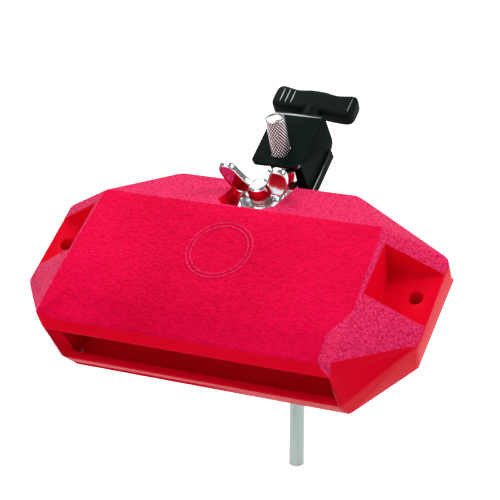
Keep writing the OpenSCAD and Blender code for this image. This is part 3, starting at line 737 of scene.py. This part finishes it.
# The knurled sleeve: rows of rings from its lower end to its upper one. The outside is cut by two sets of
# grooves that wind opposite ways, each a triangle wave, and the deeper of the two wins. A wave is steeper,
# and its groove narrower, the more it is multiplied. An attribute says how deep in the grooves each point
# lies, and the sleeve's plain ends have none.
def makeSleeve():
    size = sleeveSize
    low, top = size["top"] - size["length"], size["top"]
    height = np.linspace(low + size["chamfer"], top - size["chamfer"], size["rows"])[:, None]
    angle = (np.arange(size["columns"]) / size["columns"])[None]
    left = triangle(angle * size["around"] + height / size["pitch"])
    right = triangle(angle * size["around"] - height / size["pitch"])
    fromEnd = np.minimum(height - height[0], height[-1] - height)
    crest = np.clip(np.minimum(left * size["leftCrest"], right * size["rightCrest"]), 0, 1)
    crest = np.where(fromEnd < size["plain"], 1, crest)
    wide = size["radius"] - size["depth"] * (1 - crest)
    turn = angle * 2 * math.pi
    body = np.stack([wide * np.cos(turn), wide * np.sin(turn), height + 0 * angle], -1)
    lower = turned([(size["bore"], low), (size["radius"] - size["lip"], low)], size["columns"])
    upper = turned([(size["radius"] - size["lip"], top), (size["bore"], top)], size["columns"])
    piece = meshPiece("knurled_grip", [(placed(np.concatenate([lower, body, upper]), armPlace),)], sharp=50)
    points = np.empty(len(piece.data.vertices) * 3)
    piece.data.vertices.foreach_get("co", points)
    local = inPlace(points.reshape(-1, 3), armPlace)
    deep = (size["radius"] - np.hypot(local[:, 0], local[:, 1])) / size["depth"]
    # Painted shade: the knurled chrome darkens each point by how deep in a groove it lies
    groove = piece.data.attributes.new("groove", "FLOAT", "POINT")
    margin = size["chamfer"] + size["near"]
    knurledPart = (local[:, 2] > low + margin) & (local[:, 2] < top - margin)
    groove.data.foreach_set("value", np.where(knurledPart, np.clip(deep, 0, 1), 0).astype(np.float32))
    return piece


dress(makeSleeve(), "knurled_sleeve", "rod", "knurled_chrome", knurled)

# The cap: a disc turned about the arm, its upper edge cut back half as far down as it is inwards
capSize = {"radius": 4.7, "low": 21.4, "high": 22.9, "edge": 0.4, "around": 48}
capProfile = [(0, capSize["low"]), (capSize["radius"], capSize["low"]),
              (capSize["radius"], capSize["high"] - capSize["edge"] / 2),
              (capSize["radius"] - capSize["edge"], capSize["high"]), (0, capSize["high"])]
rodCap = meshPiece("rod_cap", [placed(turned(capProfile, capSize["around"]), armPlace)])
dress(rodCap, "rod_end_plug", "rod", "chrome", chrome)
linerSet = {"round": 0.25}
rodLiner = roundedCopy("rod_liner", "rod_bush", linerSet["round"])
dress(rodLiner, "rod_bush", "bush", "black_plastic", blackPlastic)
print("rod made")

# The clamp and the small fasteners: each piece's node, body, slot, easing in millimetres and finishes
clampParts = {
    "clamp_housing": ("clamp_frame", "head", "black_steel", 0.5, (blackCoat, blackEdges)),
    "clamp_rear_wall": ("clamp_back", "head", "black_steel", 0.45, (blackCoat, blackEdges)),
    "eye_screw": ("eye_bolt", "eye", "chrome", 0.7, (chrome,)),
    "thrust_washer": ("handle_washer", "head", "zinc_steel", 0.3, (zinc,)),
    "threaded_insert": ("handle_nut", "handle", "brass_insert", 0.25, (brass,)),
    "fixing_plate": ("mount_plate", "head", "chrome", 0.45, (chrome,)),
    "flat_washer": ("wing_nut_washer", "head", "chrome", 0.5, (chrome,)),
    "split_washer": ("spring_washer", "lift_washer", "zinc_steel", 0.35, (zinc,)),
    "carriage_bolt": ("mount_bolt", "head", "zinc_steel", 0.5, (zinc,)),
    "square_washer": ("foot_washer", "head", "zinc_steel", 0.4, (zinc,)),
    "foot_rubber": ("foot_pad", "head", "rubber_pad", 0.3, (rubber,)),
}
for pieceName, (nodeName, bodyName, slotName, easing, finishes) in clampParts.items():
    part = roundedCopy(pieceName, nodeName, easing, shine=len(finishes) > 1)
    dress(part, nodeName, bodyName, slotName, *finishes)
print("clamp made,", len(clampParts), "pieces")

# The T-handle: a bar with a round-cornered outline and two finger hollows behind, three ribs on its left
# end and a raised line across its right one
handleSize = {
    "outline": [(-26.3, 6.5), (-26.0, 3.2), (-24.6, 1.0), (-21.5, 0.15), (-17, 0.05), (-12, 0.3),
                (-6.5, 0.9), (-2.5, 1.4), (2.5, 1.4), (6.5, 0.9), (12, 0.3), (17, 0.05), (21.5, 0.15),
                (24.6, 1.0), (26.0, 3.2), (26.3, 6.5), (26.3, 10.5), (26.0, 13.6), (24.6, 15.8),
                (21.8, 16.45), (17.5, 15.7), (13, 15.05), (8.5, 15.5), (4, 16.35), (-4, 16.35),
                (-8.5, 15.5), (-13, 15.05), (-17.5, 15.7), (-21.8, 16.45), (-24.6, 15.8),
                (-26.0, 13.6), (-26.3, 10.5)],
    "reach": 7.7, "middle": 8.3, "spineHalf": 18.0, "thick": 9.9, "fullness": 7.0, "hubRadius": 6.2,
    "hubBack": 10.7, "hubTaper": 0.2, "hubFlare": 4.0, "hubRound": 1.0, "ribX": (-20.6, -17.1, -13.6),
    "endRibX": 23.2, "ribFrom": 2.8, "ribTo": 13.8, "ribWide": 1.2, "ribHigh": 5.38, "ribFullness": 9.0,
    "ribEnd": 0.5, "glossFrom": 0.02, "glossOut": 2.0, "outlineSteps": 256, "rows": 20, "around": 64,
    "ribSteps": 48, "ribRows": 9,
}


# A pillow for the bar, a turned hub, and a slim pillow on an oval for each rib, whose raised faces are
# glossier than the bar
def makeHandle():
    size = handleSize
    outline = smoothLoop(size["outline"], size["outlineSteps"])
    spine = ((-size["spineHalf"], size["middle"]), (size["spineHalf"], size["middle"]))
    bar = pillow(outline, *spine, size["thick"], crowned(size["fullness"], size["rows"]))
    bar = np.stack([bar[..., 0], bar[..., 2], bar[..., 1] + size["reach"]], -1)
    radius, back = size["hubRadius"], size["hubBack"]
    foot, flare = radius - size["hubTaper"], size["hubFlare"]
    hub = softCorners([(0, 0), (foot, 0), (radius, flare), (radius, back), (0, back)], size["hubRound"])
    grids = [placed(bar, handlePlace), placed(turned(hub, size["around"]), handlePlace)]
    middle, length = (size["ribFrom"] + size["ribTo"]) / 2, (size["ribTo"] - size["ribFrom"]) / 2
    ends = np.linspace(0, 2 * math.pi, size["ribSteps"] + 1)[:-1]
    for x in (*size["ribX"], size["endRibX"]):
        ring = np.stack([x + size["ribWide"] / 2 * np.cos(ends), middle + length * np.sin(ends)], -1)
        spine = ((x, middle - length + size["ribEnd"]), (x, middle + length - size["ribEnd"]))
        rib = pillow(ring, *spine, 2 * size["ribHigh"], crowned(size["ribFullness"], size["ribRows"]))
        rib = np.stack([rib[..., 0], rib[..., 2], rib[..., 1] + size["reach"]], -1)
        grids.append(placed(rib, handlePlace))
    piece = meshPiece("turn_handle", grids)
    centres = np.empty(len(piece.data.polygons) * 3)
    piece.data.polygons.foreach_get("center", centres)
    local = np.abs(inPlace(centres.reshape(-1, 3), handlePlace))
    aboveBar = local[:, 1] > size["thick"] / 2 + size["glossFrom"]
    raised = aboveBar & (local[:, 0] > size["hubRadius"] + size["glossOut"])
    piece.data.polygons.foreach_set("material_index", raised.astype(np.int32))
    return piece


dress(makeHandle(), "t_handle", "handle", "black_plastic", blackPlastic, blackEdges)
print("handle made")

# The wing nut: a turned hub with a domed crown, and a dished paddle on each side
wingSize = {
    "hub": [(0, 0.02), (7.4, 0.02), (7.5, 1.6), (6.8, 4.6), (5.5, 7.6), (4.2, 8.38), (3.6, 8.38),
            (3.6, 6.0), (0, 6.0)],
    "hubRound": 0.9,
    "outline": [(4.2, 1.0), (8.8, 0.35), (13.8, 0.5), (17.0, 3.6), (19.2, 9.0), (20.7, 14.8),
                (20.95, 18.8), (19.9, 21.6), (17.0, 22.45), (13.6, 22.3), (11.6, 20.6), (9.6, 16.6),
                (7.4, 12.2), (5.4, 9.4), (3.6, 7.4), (3.0, 4.0)],
    "spine": ((8.2, 5.2), (16.4, 16.6)), "thick": 4.15,
    "profile": [(0, 0.62), (0.4, 0.62), (0.78, 0.63), (0.82, 0.66), (0.85, 0.76), (0.875, 0.9), (0.9, 0.98),
                (0.925, 1.0), (0.95, 0.95), (0.972, 0.8), (0.988, 0.58), (0.997, 0.3), (1.0, 0)],
    "outlineSteps": 128, "around": 64,
}


# The hub turned about the bolt, and dished pillows that stand across it
def makeWingNut():
    size = wingSize
    seat = (nutSeat, rightWay, blockBack, blockUp)
    grids = [placed(turned(softCorners(size["hub"], size["hubRound"]), size["around"]), seat)]
    outline = smoothLoop(size["outline"], size["outlineSteps"])
    wing = pillow(outline, *size["spine"], size["thick"], size["profile"])
    wing = np.stack([wing[..., 0], wing[..., 2], wing[..., 1]], -1)
    for side in (1, -1):
        grids.append(placed(wing * np.array([side, 1, 1]), seat))
    return meshPiece("wing_nut_body", grids, sharp=50)


dress(makeWingNut(), "wing_nut", "wing", "chrome", chrome)
print("wing nut made")

# The camera of the photo: its place in metres, its pitch down and turn in degrees, its lens in millimetres
cameraSet = {"place": (0.4515, -0.9711, 0.4718), "pitch": 17.2, "turn": 26.5, "lens": 133.2, "sensor": 36.0}
camera = bpy.data.objects.new("camera", bpy.data.cameras.new("camera"))
camera.data.lens = cameraSet["lens"]
camera.data.sensor_width = cameraSet["sensor"]
camera.location = cameraSet["place"]
camera.rotation_euler = (math.radians(90 - cameraSet["pitch"]), 0, math.radians(cameraSet["turn"]))
bpy.context.scene.collection.objects.link(camera)
bpy.context.scene.camera = camera

# The lamps: each one's place and aim in metres, its side in metres and its power in watts
lampSet = {
    "key": {"place": (0.98, 0.22, 1.08), "aim": (0.0, -0.06, 0.17), "size": 0.55, "power": 10.0},
    "front": {"place": (-0.6, -0.9, 1.3), "aim": (0.0, -0.1, 0.16), "size": 0.9, "power": 3.6},
    "fill": {"place": (-0.1, -1.3, 0.4), "aim": (0.0, -0.1, 0.15), "size": 1.0, "power": 3.6},
    "top": {"place": (-0.52, 0.45, 1.15), "aim": (0.0, -0.05, 0.18), "size": 0.6, "power": 7.0},
    "glint": {"place": (-0.42, -0.03, 1.08), "aim": (0.0, 0.0, 0.2), "size": 0.3, "power": 2.2},
}
for lampName, lamp in lampSet.items():
    light = bpy.data.lights.new(lampName, "AREA")
    light.size = lamp["size"]
    light.energy = lamp["power"]
    holder = bpy.data.objects.new(lampName, light)
    holder.location = lamp["place"]
    aim = Vector(lamp["aim"]) - Vector(lamp["place"])
    holder.rotation_euler = aim.to_track_quat("-Z", "Y").to_euler()
    bpy.context.scene.collection.objects.link(holder)


floorSet = {"half": 9.0, "colour": (0.8, 0.8, 0.8), "glow": 0.72, "rough": 0.9}


# A plain floor under the rod's end. It shows white where no shadow falls, also in metal.
def makeFloor(half, colour, glow, rough):
    edge = np.array([[-half, -half, 0], [half, -half, 0], [half, half, 0], [-half, half, 0]])
    mesh = bpy.data.meshes.new("floor")
    mesh.from_pydata(edge.tolist(), [], [(0, 1, 2, 3)])
    floor = bpy.data.objects.new("floor", mesh)
    bpy.context.scene.collection.objects.link(floor)
    sockets = {"Base Color": (*colour, 1), "Roughness": rough, "Specular IOR Level": 0.0,
               "Emission Color": (1, 1, 1, 1)}
    material, tree, shader, _ = newMaterial("floorWhite", sockets)
    path = tree.nodes.new("ShaderNodeLightPath")
    seen = mathNode(tree, "MAXIMUM", path.outputs["Is Camera Ray"], path.outputs["Is Glossy Ray"])
    seen = mathNode(tree, "MAXIMUM", seen, path.outputs["Is Transmission Ray"])
    tree.links.new(mathNode(tree, "MULTIPLY", seen, glow), shader.inputs["Emission Strength"])
    floor.data.materials.append(material)


makeFloor(**floorSet)

# The surroundings' grey, from straight down at 0 to straight up at 1
worldSet = {"levels": [(0.0, 0.42), (0.5, 0.42), (0.62, 0.24), (0.8, 0.26), (1.0, 0.3)]}


# Soft studio surroundings: pale round the horizon and dimmer overhead, where the lamps hang
def makeWorld(levels):
    world = bpy.data.worlds.new("studio")
    bpy.context.scene.world = world
    world.use_nodes = True
    tree = world.node_tree
    coords = tree.nodes.new("ShaderNodeTexCoord")
    split = tree.nodes.new("ShaderNodeSeparateXYZ")
    ramp = tree.nodes.new("ShaderNodeValToRGB")
    tree.links.new(coords.outputs["Generated"], split.inputs[0])
    rise = mathNode(tree, "ADD", mathNode(tree, "MULTIPLY", split.outputs["Z"], 0.5), 0.5)
    tree.links.new(rise, ramp.inputs["Fac"])
    marks = ramp.color_ramp.elements
    marks[0].position, marks[1].position = levels[0][0], levels[-1][0]
    for element, (_, value) in zip(marks, (levels[0], levels[-1])):
        element.color = (value, value, value, 1)
    for position, value in levels[1:-1]:
        marks.new(position).color = (value, value, value, 1)
    tree.links.new(ramp.outputs["Color"], tree.nodes["Background"].inputs["Color"])
    tree.nodes["Background"].inputs["Strength"].default_value = 1.0


makeWorld(**worldSet)
bpy.context.scene.view_settings.view_transform = "Standard"
print("studio made")
